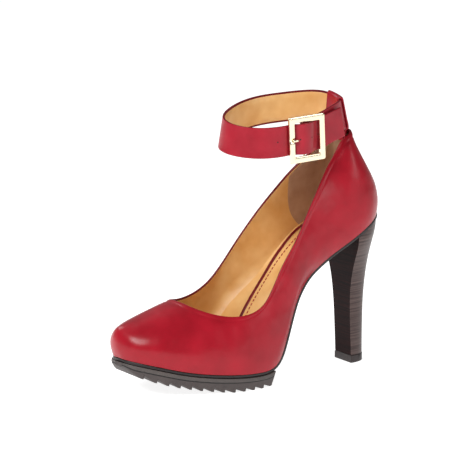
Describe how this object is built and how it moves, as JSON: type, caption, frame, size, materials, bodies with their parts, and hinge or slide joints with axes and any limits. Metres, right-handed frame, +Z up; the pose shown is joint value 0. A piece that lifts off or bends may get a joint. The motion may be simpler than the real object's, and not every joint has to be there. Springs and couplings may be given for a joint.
{
  "type": "ankle strap pump",
  "caption": "Closed-toe pump with a low-cut throat, tall straight heel, ridged forefoot sole and a buckled ankle strap held by a loop at the back.",
  "frame": {"origin": "middle of the underside of the heel top piece, on the floor", "axes": "+Z up, -Y towards the toe, +X to the outer side of the left foot"},
  "size_m": [0.0848, 0.2184, 0.203],
  "materials": {
    "upper_leather": "smooth, semi-gloss",
    "sock_leather": "smooth, satin",
    "plate": "satin",
    "sole_rubber": "matte, moulded",
    "stacked_heel": "dark stacked look, semi-gloss",
    "top_piece": "matte",
    "strap_leather": "smooth, semi-gloss",
    "buckle_metal": "pale, polished"
  },
  "bodies": {
    "root": {"upper": "upper_leather", "insole": "sock_leather", "sole_plate": "plate", "outsole": "sole_rubber", "heel": "stacked_heel", "heel_top_piece": "top_piece", "strap_loop": "strap_leather", "ankle_strap": "strap_leather", "buckle_frame": "buckle_metal", "buckle_prong": "buckle_metal"}
  },
  "joints": []
}
